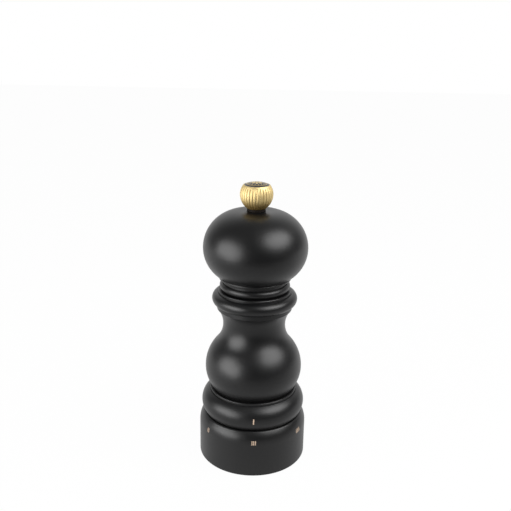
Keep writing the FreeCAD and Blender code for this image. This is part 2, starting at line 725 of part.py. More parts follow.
def click_spring():
    """Bent leaf in the guide tube's pocket, with its crest in a notch of the liner."""
    seat = guide_radius - POCKET_DEPTH + SEAT_FIT
    shoulder = guide_radius - LEAF_THICKNESS - SLIDE_FIT
    crest = notch_floor - PIN_FIT - LEAF_THICKNESS
    path = [
        (seat, -LEAF_HALF_LENGTH),
        (shoulder, -CLICK_HALF_WIDTH),
        (crest, 0),
        (shoulder, CLICK_HALF_WIDTH),
        (seat, LEAF_HALF_LENGTH),
    ]
    foot = RING_HEIGHT - LEAF_TOP_GAP - LEAF_HEIGHT
    inner = [Vector(x, y, foot) for x, y in path]
    outer = [Vector(x + LEAF_THICKNESS, y, foot) for x, y in reversed(path)]
    leaf = Part.Face(Part.makePolygon(inner + outer + inner[:1])).extrude(Vector(0, 0, LEAF_HEIGHT))
    return turned_to(leaf, CLICK_AZIMUTH)


def click_pocket():
    width = 2 * (LEAF_HALF_LENGTH + POCKET_MARGIN)
    foot = RING_HEIGHT - LEAF_TOP_GAP - LEAF_HEIGHT - LEAF_TOP_GAP
    corner = Vector(guide_radius - POCKET_DEPTH, -width / 2, foot)
    return turned_to(Part.makeBox(2 * POCKET_DEPTH, width, RING_HEIGHT - foot, corner), CLICK_AZIMUTH)


def spoke(length, width):
    """Spoke of the bearing spider on the +X side, or the notch for its end."""
    return Part.makeBox(length, width, SPIDER_HEIGHT, Vector(0, -width / 2, spider_foot))


def bearing_spider():
    """Hub with spokes whose ends sit in notches of the guide tube, clamped there by the body."""
    arm = spoke(guide_radius - HOLE_FIT, SPOKE_WIDTH)
    hub = rod(HUB_RADIUS, hub_foot, housing_top)
    spider = hub.fuse(around(arm, SPOKE_COUNT)).removeSplitter()
    return spider.cut(rod(bush_radius + SEAT_FIT, hub_foot, housing_top))


def mechanism_housing():
    outline = Outline(guide_bore, guide_foot).line(guide_radius, guide_foot).line(guide_radius, flange_foot)
    outline.line(flange_radius, flange_foot).line(flange_radius, flange_top)
    outline.line(guide_radius, flange_top).line(guide_radius, housing_top).line(guide_bore, housing_top)
    notch = spoke(housing_bore, SPOKE_WIDTH + 2 * SEAT_FIT)
    housing = outline.turn().cut(around(notch, SPOKE_COUNT))

    slot = PIN_RADIUS + PIN_FIT
    inner, outer = carrier_radius - SLIDE_FIT, liner_bore
    lower = radial_slot(slot, inner, outer, lower_pin - travel_down - PIN_FIT, lower_pin + travel_up + PIN_FIT)
    upper = radial_slot(slot, inner, outer, upper_pin - travel_down - PIN_FIT, upper_pin + travel_up + PIN_FIT)
    groove_floor = guide_radius - RETAINER_DEPTH
    groove = tube(groove_floor, liner_bore, retainer_foot - SEAT_FIT, retainer_top + SEAT_FIT)
    screw = screw_outline(HOUSING_SCREW_HEAD, HOUSING_SCREW_SHANK, flange_foot, HOUSING_SCREW_LENGTH, SEAT_FIT)
    return housing.cut([lower, turned_to(upper, 180), groove, click_pocket()] + housing_screw_places(screw))


def housing_screws():
    screw = slotted_screw(HOUSING_SCREW_HEAD, HOUSING_SCREW_SHANK, flange_foot, HOUSING_SCREW_LENGTH)
    return Part.makeCompound(housing_screw_places(screw))


def thrust_washer():
    return tube(guide_radius + HOLE_FIT, THRUST_WASHER_RADIUS, RING_HEIGHT + THRUST_PLAY, body_foot - THRUST_PLAY)


def retaining_ring():
    inner = guide_radius - RETAINER_DEPTH + SEAT_FIT
    outer = liner_bore + RETAINER_REACH
    outline = Outline(inner, retainer_foot).line(outer, retainer_foot).line(outer, retainer_top)
    ring = outline.line(inner, retainer_top).turn(360 - RETAINER_OPENING)
    return turned_to(ring, CLICK_AZIMUTH + RETAINER_OPENING / 2)


PIECES = (
    mill_head,
    mill_body,
    adjusting_ring,
    knob,
    knob_disc,
    knob_insert,
    knob_washer,
    drive_plate,
    drive_plate_screws,
    shaft,
    shaft_bush,
    mechanism_housing,
    bearing_spider,
    housing_screws,
    spring_washer,
    spring,
    rotor,
    rotor_washer,
    rotor_nut,
    stator,
    stator_carrier,
    follower_pins,
    ring_liner,
    thrust_washer,
    retaining_ring,
    click_spring,
)


def main():
    os.makedirs("parts", exist_ok=True)
    for piece in PIECES:
        piece().exportStep("parts/" + piece.__name__ + ".step")


if __name__ == "__main__":
    main()
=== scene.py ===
import math

import bmesh
import bpy
from bpy.props import FloatProperty, FloatVectorProperty, IntProperty, PointerProperty
from bpy.types import NodeSocket, Operator, Panel, PropertyGroup
from mathutils import Matrix, Vector
from mathutils.bvhtree import BVHTree


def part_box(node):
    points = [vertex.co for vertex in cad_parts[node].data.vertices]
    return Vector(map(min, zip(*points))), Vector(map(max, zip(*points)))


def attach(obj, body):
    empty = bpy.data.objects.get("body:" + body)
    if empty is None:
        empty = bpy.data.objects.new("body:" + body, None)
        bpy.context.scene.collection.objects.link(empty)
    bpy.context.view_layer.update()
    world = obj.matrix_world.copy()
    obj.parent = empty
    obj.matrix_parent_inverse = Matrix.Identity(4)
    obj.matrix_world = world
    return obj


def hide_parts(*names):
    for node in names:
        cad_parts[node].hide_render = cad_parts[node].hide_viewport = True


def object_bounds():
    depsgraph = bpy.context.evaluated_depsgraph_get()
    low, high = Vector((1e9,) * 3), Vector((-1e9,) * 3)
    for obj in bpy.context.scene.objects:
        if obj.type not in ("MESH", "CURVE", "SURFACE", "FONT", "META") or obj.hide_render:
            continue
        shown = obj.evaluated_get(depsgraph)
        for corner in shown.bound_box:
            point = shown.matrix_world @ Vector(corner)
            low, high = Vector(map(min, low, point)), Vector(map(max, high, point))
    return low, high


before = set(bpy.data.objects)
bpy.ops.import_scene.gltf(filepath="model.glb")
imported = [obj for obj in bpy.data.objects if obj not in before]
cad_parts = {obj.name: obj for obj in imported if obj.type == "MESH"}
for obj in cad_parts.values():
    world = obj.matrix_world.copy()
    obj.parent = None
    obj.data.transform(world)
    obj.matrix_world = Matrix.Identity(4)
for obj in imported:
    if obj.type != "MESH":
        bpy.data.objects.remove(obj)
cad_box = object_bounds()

bl_info = {
    "name": "Pepper Mill Looks",
    "version": (1, 0, 0),
    "blender": (4, 5, 0),
    "location": "View3D > Sidebar > Mill",
    "description": "Finishes, fine pieces and studio of a turned pepper mill",
    "category": "Object",
}

# The mill's axis is Z, the table is z = 0 and the front faces -Y. Lengths are in metres.
VALUE = "NodeSocketFloat"
COLOUR = "NodeSocketColor"
DOWN = Vector((0.0, 0.0, -1.0))

# Angle between two faces from which their edge is sharp
SHARP = math.radians(35.0)
# Points around a plain round piece
ROUND_STEPS = 96
# Places across an inlaid strip, in half widths from its middle
STRIP = (-1.0, -0.5, 0.0, 0.5, 1.0)
# Depth of an inlay under its surface, as a multiple of its height above it
SUNK = 4.0
# How far patches lower and raise the roughness of the lacquer and of the plating
SATIN_CHANGE = (-0.02, 0.03)
POLISH_CHANGE = (-0.03, 0.05)


def foot_of(node):
    """Lowest height of a CAD node."""
    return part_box(node)[0].z


def top_of(node):
    """Highest height of a CAD node."""
    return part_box(node)[1].z


def radius_of(node):
    """Outer radius of a turned CAD node."""
    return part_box(node)[1].x


# Settings a user would change

def length(name, description, default):
    return FloatProperty(name=name, description=description, default=default, unit="LENGTH", precision=6)


def colour(name, description, default):
    return FloatVectorProperty(name=name, description=description, default=default,
                               subtype="COLOR", size=3, min=0.0, max=1.0)


def share(name, description, default):
    return FloatProperty(name=name, description=description, default=default,
                         subtype="FACTOR", min=0.0, max=1.0)


def turn(name, description, degrees):
    return FloatProperty(name=name, description=description, default=math.radians(degrees), unit="ROTATION")


def brightness(name, description, default):
    return FloatProperty(name=name, description=description, default=default, min=0.0)


def power(name, description, default):
    return FloatProperty(name=name, description=description, default=default, min=0.0, unit="POWER")


def count(name, description, default):
    return IntProperty(name=name, description=description, default=default, min=1)


class WoodFinish(PropertyGroup):
    """Lacquered beech of the head, the body and the ring"""
    lacquer: colour("Lacquer", "Colour of the satin lacquer", (0.0036, 0.0036, 0.0038))
    sheen: share("Roughness", "Roughness of the satin lacquer", 0.37)
    relief: length("Relief", "Depth of the lacquer's fine relief", 0.000004)
    pale: colour("Pale beech", "Early wood of the bare beech inside", (0.62, 0.41, 0.25))
    dark: colour("Dark beech", "Late wood of the bare beech inside", (0.42, 0.25, 0.13))
    bare_sheen: share("Bare roughness", "Roughness of the bare beech inside", 0.66)
    socket: length("Socket", "Radius inside which the body and the head's spigot are bare", 0.0173)


class KnobShape(PropertyGroup):
    """Reeded knob and the cup washer under it"""
    radius: length("Radius", "Widest radius over the reeds", 0.01005)
    widest: length("Widest", "Height of the widest place above the foot", 0.0096)
    lower_curve: length("Lower curve", "Radius of the side's curve below the widest place", 0.0105)
    upper_curve: length("Upper curve", "Radius of the side's curve above the widest place", 0.0092)
    foot: length("Foot", "Radius of the reeds' lower ends", 0.0058)
    rim: length("Rim", "Rounding of the rim", 0.0003)
    height: length("Height", "Height of the rim above the foot", 0.0154)
    band: length("Band", "Plain band between the reeds and the rim", 0.0008)
    bore: length("Bore", "Radius of the bore for the threaded bush", 0.00425)
    roof: length("Roof", "Height of the bore's roof above the foot", 0.0092)
    washer: length("Washer", "Radius of the cup washer under the knob", 0.0057)
    washer_hole: length("Washer hole", "Radius of the washer's hole for the shaft", 0.0027)
    washer_edge: length("Washer edge", "Chamfer around the washer", 0.0002)
    slip: length("Slip", "Gap between the washer and the pieces that turn on it", 0.00005)
    reeds: count("Reeds", "Number of reeds around the knob", 30)
    reed_depth: share("Reed depth", "Depth of the valleys between reeds, as a share of the radius", 0.034)
    gilt: colour("Gilt", "Colour of the plating", (0.86, 0.695, 0.355))
    # Painted shade: the next colour darkens the plating deep between the reeds and towards the foot, where
    # the knob lies in shade.
    painted_shade: colour("Tarnish", "Colour of the plating where no cloth reaches", (0.40, 0.265, 0.085))
    polish: share("Roughness", "Roughness of the plating", 0.58)
    # Full painted shade also makes the plating this much rougher.
    dullness: share("Dullness", "Roughness that full tarnish adds", 0.06)
    # How much painted shade lies deep between the reeds, and how high above the foot it reaches.
    valley_tarnish: share("Valley tarnish", "Share of tarnish deep between reeds", 0.6)
    foot_tarnish: length("Foot tarnish", "Height above the foot up to which the knob is tarnished", 0.0085)


class DiscDesign(PropertyGroup):
    """Enamelled disc on top of the knob"""
    radius: length("Radius", "Radius of the disc", 0.00755)
    depth: length("Depth", "Depth of the disc's seat in the knob", 0.0012)
    fit: length("Fit", "Gap around the disc in its seat", 0.00005)
    enamel: colour("Enamel", "Colour of the enamel", (0.012, 0.012, 0.018))
    gold: colour("Gold", "Colour of the inlaid ornament", (0.72, 0.55, 0.24))
    petals: count("Petals", "Number of petals in the rosette", 8)
    petal_start: length("Petal start", "Distance of a petal's root from the middle", 0.0009)
    petal_end: length("Petal end", "Distance of a petal's tip from the middle", 0.0041)
    petal_width: length("Petal width", "Half width of a petal", 0.00078)
    dots: count("Dots", "Number of dots around the rosette", 16)
    dot_circle: length("Dot circle", "Radius of the circle of dots", 0.0050)
    dot_radius: length("Dot radius", "Radius of a dot", 0.00038)
    band_radius: length("Band radius", "Radius of the outer band", 0.0060)
    band_width: length("Band width", "Half width of the outer band", 0.00018)
    proud: length("Proud", "Height of the inlay above the enamel", 0.00002)


class MarkLayout(PropertyGroup):
    """Tally marks on the ring and the pointer on the body"""
    ink: colour("Ink", "Colour of the marks", (0.50, 0.37, 0.27))
    settings: count("Settings", "Number of grind settings", 6)
    front_setting: count("Front setting", "Setting that faces the pointer", 3)
    pitch: turn("Pitch", "Angle between two settings", 56.0)
    azimuth: turn("Azimuth", "Angle of the front setting from the front towards the right", 2.0)
    foot: length("Foot", "Height of the marks' feet", 0.0221)
    height: length("Height", "Height of a mark", 0.0028)
    bar: length("Bar", "Width of one bar", 0.00056)
    spacing: length("Spacing", "Distance between two bars of a mark", 0.0011)
    pointer_azimuth: turn("Pointer azimuth", "Angle of the pointer from the front towards the right", 1.4)
    pointer_foot: length("Pointer foot", "Height of the pointer's foot", 0.0358)
    pointer_height: length("Pointer height", "Height of the pointer", 0.0034)
    pointer_width: length("Pointer width", "Width of the pointer", 0.0008)
    proud: length("Proud", "Height of the marks above the lacquer", 0.00002)


class ShaftShape(PropertyGroup):
    """Drive shaft with its threads"""
    journal: length("Journal", "Radius of the round journal", 0.0025)
    square: length("Square", "Half side of the square", 0.0025)
    knob_thread: length("Knob thread", "Outer radius of the thread for the knob", 0.0024)
    knob_pitch: length("Knob pitch", "Rise of the knob's thread in one turn", 0.0008)
    rotor_square: length("Rotor square", "Half side of the square in the rotor", 0.0017)
    nut_thread: length("Nut thread", "Outer radius of the thread for the nut", 0.0017)
    nut_pitch: length("Nut pitch", "Rise of the nut's thread in one turn", 0.0006)
    thread_depth: share("Thread depth", "Depth of a thread as a share of its pitch", 0.52)
    corner: share("Corner", "Reach of the square's rounded corners as a share of the sharp ones", 0.95)
    chamfer: length("Chamfer", "Chamfer at the shaft's ends", 0.0006)
    shoulder: length("Shoulder", "Height where the square starts above the bush", 0.00005)
    square_top: length("Square top", "Height of the square's upper end", 0.1555)


class MechanismFinish(PropertyGroup):
    """Metal and moulded pieces inside the mill"""
    steel: colour("Steel", "Colour of zinc plated steel", (0.62, 0.63, 0.64))
    spring_steel: colour("Spring steel", "Colour of the springs", (0.42, 0.41, 0.40))
    hardened: colour("Hardened steel", "Colour of the grinding teeth", (0.20, 0.19, 0.19))
    temper: colour("Temper", "Colour of the heat stains on hardened steel", (0.30, 0.24, 0.18))
    brass: colour("Brass", "Colour of turned brass", (0.74, 0.53, 0.22))
    moulding: colour("Moulding", "Colour of the moulded pieces", (0.018, 0.018, 0.019))
    nylon: colour("Nylon", "Colour of the slip washers", (0.012, 0.0092, 0.0077))
    wire: length("Wire", "Radius of the spring's wire", 0.00045)
    coil_turns: FloatProperty(name="Coil turns", description="Open turns of the spring",
                              default=4.0, min=1.0)


class StudioSetup(PropertyGroup):
    """Floor, surroundings, soft boxes and camera"""
    eye: FloatVectorProperty(name="Eye", description="Place of the camera", size=3, unit="LENGTH",
                             subtype="TRANSLATION", default=(0.00002, -0.4097, 0.2656))
    tilt: turn("Tilt", "Angle of the view from straight down", 72.20)
    roll: turn("Roll", "Lean of the camera about its line of sight", 1.116)
    lens: FloatProperty(name="Lens", description="Focal length", default=49.35, unit="CAMERA")
    floor: colour("Floor", "Colour of the floor", (0.86, 0.86, 0.86))
    table_side: length("Table side", "Reach of the floor to each side of the mill", 2.0)
    table_front: length("Table front", "Reach of the floor in front of the mill", 0.3)
    table_back: length("Table back", "Reach of the floor behind the mill", 3.0)
    clean: share("Clean", "Share of the floor's look that is plain white", 0.975)
    mirrored: share("Mirrored", "Brightness of the front of the floor in reflections", 0.55)
    fall: length("Fall", "Distance over which the floor's reflection falls off to the front", 0.25)
    front: brightness("Front", "Brightness of the room behind the camera", 0.04)
    back: brightness("Back", "Brightness of the backdrop's side", 1.0)
    ceiling: brightness("Ceiling", "Brightness that the ceiling adds", 0.2)
    left_azimuth: turn("Left azimuth", "Direction of the left soft box, from the front to the right", -59.0)
    left_rise: turn("Left rise", "Angle of the left soft box above the mill", 8.0)
    left_height: length("Left height", "Height of the left soft box", 0.8)
    left_power: power("Left power", "Power of the left soft box", 9.9)
    right_azimuth: turn("Right azimuth", "Direction of the right soft box, from the front to the right",
                        61.5)
    right_rise: turn("Right rise", "Angle of the right soft box above the mill", 42.0)
    right_height: length("Right height", "Height of the right soft box", 0.66)
    right_power: power("Right power", "Power of the right soft box", 8.6)
    box_width: length("Box width", "Width of a soft box", 0.94)
    distance: length("Distance", "Distance of the soft boxes from the mill", 0.9)


# Shader nodes

def put(tree, kind, inputs=None, **settings):
    """Add a node. Each input is a value, or an output of another node to link to it."""
    made = tree.nodes.new(kind)
    for name, value in settings.items():
        setattr(made, name, value)
    for key, value in (inputs or {}).items():
        if isinstance(value, NodeSocket):
            tree.links.new(value, made.inputs[key])
        else:
            made.inputs[key].default_value = value
    return made


def calc(tree, operation, first, second=0.0, clamp=False):
    """Output of one Math node."""
    made = put(tree, "ShaderNodeMath", {0: first, 1: second}, operation=operation, use_clamp=clamp)
    return made.outputs[0]


def spread(tree, value, low=0.0, high=1.0, to_low=0.0, to_high=1.0, interpolation="LINEAR"):
    """A value's range from low to high, spread over another range."""
    inputs = {"Value": value, "From Min": low, "From Max": high, "To Min": to_low, "To Max": to_high}
    return put(tree, "ShaderNodeMapRange", inputs, interpolation_type=interpolation).outputs["Result"]


def blend(tree, factor, first, second):
    """Two colours mixed by a factor."""
    mixer = put(tree, "ShaderNodeMix", {0: factor}, data_type="RGBA")
    # A Mix node has sockets of one name for each kind of data, and these are the ones for colours.
    first_colour, second_colour, mixed = mixer.inputs[6], mixer.inputs[7], mixer.outputs[2]
    for socket, value in ((first_colour, first), (second_colour, second)):
        if isinstance(value, NodeSocket):
            tree.links.new(value, socket)
        else:
            socket.default_value = (*value[:3], 1.0)
    return mixed


def noise(tree, place, scale, detail=2.0, roughness=0.5):
    """Strength of a soft noise between 0 and 1."""
    inputs = {"Vector": place, "Scale": scale, "Detail": detail, "Roughness": roughness}
    return put(tree, "ShaderNodeTexNoise", inputs).outputs["Fac"]


def object_place(tree):
    """Place in the frame at rest, in metres."""
    return put(tree, "ShaderNodeTexCoord").outputs["Object"]


def new_group(name, inputs, outputs):
    """Shader node group with named sockets, as its tree, its inputs' node and its outputs' node."""
    tree = bpy.data.node_groups.new(name, "ShaderNodeTree")
    for label, kind, default in inputs:
        tree.interface.new_socket(name=label, in_out="INPUT", socket_type=kind).default_value = default
    for label, kind in outputs:
        tree.interface.new_socket(name=label, in_out="OUTPUT", socket_type=kind)
    return tree, tree.nodes.new("NodeGroupInput"), tree.nodes.new("NodeGroupOutput")


def place_group(tree, build, inputs=None):
    """Place a node group in a tree. The group is built the first time it is asked for."""
    group = bpy.data.node_groups.get(build.__name__)
    return put(tree, "ShaderNodeGroup", inputs, node_tree=group or build())


def mill_axis():
    """Distance from the mill's axis and height above the table."""
    tree, _, results = new_group("mill_axis", (), (("Radius", VALUE), ("Height", VALUE)))
    parts = put(tree, "ShaderNodeSeparateXYZ", {0: object_place(tree)})
    flat = put(tree, "ShaderNodeCombineXYZ", {"X": parts.outputs["X"], "Y": parts.outputs["Y"]})
    radius = put(tree, "ShaderNodeVectorMath", {0: flat.outputs[0]}, operation="LENGTH")
    tree.links.new(radius.outputs["Value"], results.inputs["Radius"])
    tree.links.new(parts.outputs["Z"], results.inputs["Height"])
    return tree


def turning_lines():
    """Fine rings that a lathe tool leaves around the axis."""
    tree, given, results = new_group("turning_lines", (("Scale", VALUE, 3000.0),), (("Height", VALUE),))
    axis = place_group(tree, mill_axis)
    place = put(tree, "ShaderNodeCombineXYZ", {"X": axis.outputs["Radius"], "Y": axis.outputs["Height"]})
    lines = noise(tree, place.outputs[0], given.outputs["Scale"], detail=3.0, roughness=0.6)
    tree.links.new(lines, results.inputs["Height"])
    return tree


def wood_pores():
    """Short pores along the grain, which runs up the mill."""
    tree, given, results = new_group("wood_pores", (("Scale", VALUE, 2600.0),), (("Pores", VALUE),))
    drawn = put(tree, "ShaderNodeMapping", {"Vector": object_place(tree), "Scale": (1.0, 1.0, 0.09)})
    field = noise(tree, drawn.outputs[0], given.outputs["Scale"], detail=1.0)
    tree.links.new(spread(tree, field, low=0.58, high=0.72), results.inputs["Pores"])
    return tree


def handling():
    """Broad, faint patches that hands and cloths leave in a polish."""
    tree, given, results = new_group("handling", (("Scale", VALUE, 70.0),), (("Patches", VALUE),))
    broad = noise(tree, object_place(tree), given.outputs["Scale"], detail=4.0, roughness=0.6)
    tree.links.new(spread(tree, broad, low=0.3, high=0.7), results.inputs["Patches"])
    return tree


def fine_grit():
    """Even grain of a moulded or blasted surface."""
    tree, given, results = new_group("fine_grit", (("Scale", VALUE, 2500.0),), (("Height", VALUE),))
    tree.links.new(noise(tree, object_place(tree), given.outputs["Scale"]), results.inputs["Height"])
    return tree


def beech_grain():
    """Bare beech with soft bands and short dark flecks."""
    inputs = (("Pale", COLOUR, (0.6, 0.4, 0.25, 1.0)), ("Dark", COLOUR, (0.4, 0.25, 0.13, 1.0)))
    tree, given, results = new_group("beech_grain", inputs, (("Color", COLOUR),))
    drawn = put(tree, "ShaderNodeMapping", {"Vector": object_place(tree), "Scale": (1.0, 0.35, 0.06)})
    bands = noise(tree, drawn.outputs[0], scale=420.0, detail=3.0)
    soft = spread(tree, bands, low=0.35, high=0.7, to_high=0.55)
    flecks = spread(tree, place_group(tree, wood_pores, {"Scale": 1500.0}).outputs["Pores"], to_high=0.4)
    grain = calc(tree, "ADD", soft, flecks, clamp=True)
    wood = blend(tree, grain, given.outputs["Pale"], given.outputs["Dark"])
    tree.links.new(wood, results.inputs["Color"])
    return tree


# Materials

def new_material(name, inputs):
    """Material with one Principled shader, as the material, its tree and the shader."""
    material = bpy.data.materials.new(name)
    material.use_nodes = True
    tree = material.node_tree
    shader = tree.nodes["Principled BSDF"]
    for key, value in inputs.items():
        shader.inputs[key].default_value = (*value, 1.0) if key == "Base Color" else value
    return material, tree, shader


def tinted(base, factor):
    """A colour made darker or lighter."""
    return [factor * part for part in base]


def patches_at(tree, scale):
    """Mask of the patches that handling leaves."""
    return place_group(tree, handling, {"Scale": scale}).outputs["Patches"]


def patchy(tree, shader, first, second, scale):
    """Colour that changes over the surface between two colours."""
    mixed = blend(tree, patches_at(tree, scale), first, second)
    tree.links.new(mixed, shader.inputs["Base Color"])


def uneven(tree, shader, low, high, scale=70.0):
    """Roughness that changes over the surface between two values."""
    rough = spread(tree, patches_at(tree, scale), to_low=low, to_high=high)
    tree.links.new(rough, shader.inputs["Roughness"])


def relief(tree, shader, height, depth):
    """Bump of a shader, from a height between 0 and 1 and its real depth."""
    bump = put(tree, "ShaderNodeBump", {"Height": height, "Distance": depth})
    tree.links.new(bump.outputs["Normal"], shader.inputs["Normal"])


def height_of(tree, pattern, scale):
    """Height of a fine pattern."""
    return place_group(tree, pattern, {"Scale": scale}).outputs["Height"]


def lacquered_wood(name, finish, bare_zones):
    """Black satin lacquer, with bare beech in zones of (radius, lowest and highest place)."""
    material, tree, shader = new_material(name, {})
    axis = place_group(tree, mill_axis)
    radius, height = axis.outputs["Radius"], axis.outputs["Height"]
    bare = 0.0
    for reach, low, high in bare_zones:
        inside = calc(tree, "LESS_THAN", radius, reach)
        above = calc(tree, "GREATER_THAN", height, low)
        below = calc(tree, "LESS_THAN", height, high)
        zone = calc(tree, "MULTIPLY", inside, calc(tree, "MULTIPLY", above, below))
        bare = calc(tree, "MAXIMUM", bare, zone)

    patches = patches_at(tree, scale=45.0)
    film = blend(tree, patches, finish.lacquer, tinted(finish.lacquer, factor=1.16))
    beech = place_group(tree, beech_grain, {"Pale": (*finish.pale, 1.0), "Dark": (*finish.dark, 1.0)})
    tree.links.new(blend(tree, bare, film, beech.outputs["Color"]), shader.inputs["Base Color"])

    low, high = [finish.sheen + change for change in SATIN_CHANGE]
    satin = spread(tree, patches, to_low=low, to_high=high)
    dull = calc(tree, "MULTIPLY", calc(tree, "SUBTRACT", finish.bare_sheen, satin), bare)
    tree.links.new(calc(tree, "ADD", satin, dull), shader.inputs["Roughness"])

    # Share of the relief that pores keep under the lacquer. In bare wood they are a whole relief deeper.
    pores_left = 0.25
    peel = spread(tree, height_of(tree, fine_grit, scale=850.0), to_high=0.6)
    lines = spread(tree, height_of(tree, turning_lines, scale=1800.0), to_high=0.4)
    pores = place_group(tree, wood_pores).outputs["Pores"]
    deep_pores = calc(tree, "MULTIPLY", pores, calc(tree, "ADD", pores_left, bare))
    film_height = calc(tree, "ADD", peel, lines)
    relief(tree, shader, calc(tree, "SUBTRACT", film_height, deep_pores), finish.relief)
    return material


def gilt_metal(knob):
    """Brass coloured plating, with painted shade deep between the reeds and towards the foot, where it is
    also duller.
    """
    material, tree, shader = new_material("gilt_metal", {"Metallic": 1.0})
    shade_mask = put(tree, "ShaderNodeAttribute", attribute_name="painted_shade").outputs["Fac"]
    # The attribute mixes the painted shade colour into the plating.
    tree.links.new(blend(tree, shade_mask, knob.gilt, knob.painted_shade), shader.inputs["Base Color"])
    low, high = [knob.polish + change for change in POLISH_CHANGE]
    polish = spread(tree, patches_at(tree, scale=240.0), to_low=low, to_high=high)
    dull = calc(tree, "MULTIPLY", shade_mask, knob.dullness)
    tree.links.new(calc(tree, "ADD", polish, dull), shader.inputs["Roughness"])
    relief(tree, shader, height_of(tree, turning_lines, scale=5000.0), depth=0.0000008)
    return material


def bright_metal(name, base, low, high):
    """Turned, drawn or plated metal with fine rings about the axis."""
    material, tree, shader = new_material(name, {"Metallic": 1.0})
    uneven(tree, shader, low, high, scale=160.0)
    patchy(tree, shader, base, tinted(base, factor=0.84), scale=90.0)
    relief(tree, shader, height_of(tree, turning_lines, scale=4200.0), depth=0.000003)
    return material


def hardened_steel(finish):
    """Dark case hardened steel with warm heat stains."""
    material, tree, shader = new_material("case_hardened_steel", {"Metallic": 1.0})
    patchy(tree, shader, finish.hardened, finish.temper, scale=260.0)
    uneven(tree, shader, low=0.34, high=0.5, scale=400.0)
    relief(tree, shader, height_of(tree, fine_grit, scale=3500.0), depth=0.000006)
    return material


def moulded(name, base, low, high, grain=2500.0, depth=0.000008, gloss=0.5):
    """Moulded plastic with an even fine grain."""
    material, tree, shader = new_material(name, {"Specular IOR Level": gloss})
    patchy(tree, shader, base, tinted(base, factor=1.35), scale=120.0)
    uneven(tree, shader, low, high)
    relief(tree, shader, height_of(tree, fine_grit, grain), depth)
    return material


def glossy_enamel(disc):
    """Glossy dark enamel."""
    material, tree, shader = new_material("disc_enamel", {"Base Color": disc.enamel})
    uneven(tree, shader, low=0.26, high=0.34, scale=300.0)
    relief(tree, shader, height_of(tree, fine_grit, scale=700.0), depth=0.000002)
    return material


def mark_print(marks):
    """Pale print with the wood's pores showing through it."""
    material, tree, shader = new_material("mark_print", {"Roughness": 0.6})
    pores = place_group(tree, wood_pores).outputs["Pores"]
    worn = tinted(marks.ink, factor=0.85)
    tree.links.new(blend(tree, pores, marks.ink, worn), shader.inputs["Base Color"])
    relief(tree, shader, height_of(tree, fine_grit, scale=2200.0), depth=0.000005)
    return material


def floor_paper(studio):
    """White paper with a faint shadow, darker towards the front where it is mirrored."""
    finish = {"Base Color": studio.floor, "Roughness": 0.9, "Specular IOR Level": 0.1}
    material, tree, shader = new_material("floor_paper", finish)
    path = put(tree, "ShaderNodeLightPath")
    camera = path.outputs["Is Camera Ray"]
    mirrored = calc(tree, "MAXIMUM", path.outputs["Is Glossy Ray"], path.outputs["Is Transmission Ray"])
    seen = calc(tree, "MAXIMUM", camera, mirrored)
    depth = put(tree, "ShaderNodeSeparateXYZ", {0: object_place(tree)}).outputs["Y"]
    fall = spread(tree, depth, -studio.fall / 2, studio.fall / 2, to_low=studio.mirrored)
    bright = calc(tree, "MAXIMUM", camera, fall)
    white = put(tree, "ShaderNodeEmission", {"Color": (1.0, 1.0, 1.0, 1.0), "Strength": bright})
    mixer = put(tree, "ShaderNodeMixShader", {0: calc(tree, "MULTIPLY", seen, studio.clean)})
    tree.links.new(shader.outputs["BSDF"], mixer.inputs[1])
    tree.links.new(white.outputs["Emission"], mixer.inputs[2])
    tree.links.new(mixer.outputs[0], tree.nodes["Material Output"].inputs["Surface"])
    return material


# Meshes

def skin(rings, wrap=False):
    """Corners and faces of a skin through rings of as many points each, joined to a loop or capped."""
    size = len(rings[0])
    corners = [point for ring in rings for point in ring]
    faces = []
    for first in range(len(rings) if wrap else len(rings) - 1):
        second = (first + 1) % len(rings)
        for i in range(size):
            j = (i + 1) % size
            faces.append((first * size + i, first * size + j, second * size + j, second * size + i))
    if not wrap:
        faces.append(tuple(range(size)))
        faces.append(tuple(range(len(corners) - size, len(corners))))
    return corners, faces


def make_piece(name, skins, body, material):
    """Object from one or more closed skins, riding on a body."""
    corners, faces = [], []
    for some_corners, some_faces in skins:
        start = len(corners)
        corners += some_corners
        faces += [[start + i for i in face] for face in some_faces]
    mesh = bpy.data.meshes.new(name)
    mesh.from_pydata(corners, [], faces)
    shape = bmesh.new()
    shape.from_mesh(mesh)
    bmesh.ops.recalc_face_normals(shape, faces=shape.faces)
    shape.to_mesh(mesh)
    shape.free()
    mesh.shade_smooth()
    mesh.set_sharp_from_angle(angle=SHARP)
    mesh.materials.append(material)
    piece = bpy.data.objects.new(name, mesh)
    bpy.context.scene.collection.objects.link(piece)
    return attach(piece, body)


def dress(material, *names):
    """Give CAD nodes a material."""
    for name in names:
        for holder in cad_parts[name].material_slots:
            holder.material = material


def polar(radius, angle, z):
    """Point at a radius and height, at an angle from the front towards the right."""
    return Vector((radius * math.sin(angle), -radius * math.cos(angle), z))


def ring_of(radius, z):
    """Points of a circle about the mill's axis."""
    return [polar(radius, math.tau * i / ROUND_STEPS, z) for i in range(ROUND_STEPS)]


def arc(centre, radius, start, end, steps):
    """Points (r, z) on an arc between two angles from the radial direction."""
    points = []
    for i in range(steps + 1):
        angle = start + (end - start) * i / steps
        points.append((centre[0] + radius * math.cos(angle), centre[1] + radius * math.sin(angle)))
    return points


def surface_of(piece):
    """Surface of a piece for ray casts."""
    mesh = piece.data
    corners = [vertex.co.copy() for vertex in mesh.vertices]
    return BVHTree.FromPolygons(corners, [tuple(face.vertices) for face in mesh.polygons])


def inlay(surface, rows, proud, wrap=False):
    """Skin of a thin plate let into a surface, through rows of rays (start, direction)."""
    rings = []
    for row in rows:
        upper, lower = [], []
        for start, direction in row:
            point, normal, _, _ = surface.ray_cast(start, direction)
            if point is None:
                raise RuntimeError("an inlay reaches past its surface")
            upper.append(point + proud * normal)
            lower.append(point - SUNK * proud * normal)
        rings.append(upper + lower[::-1])
    return skin(rings, wrap)


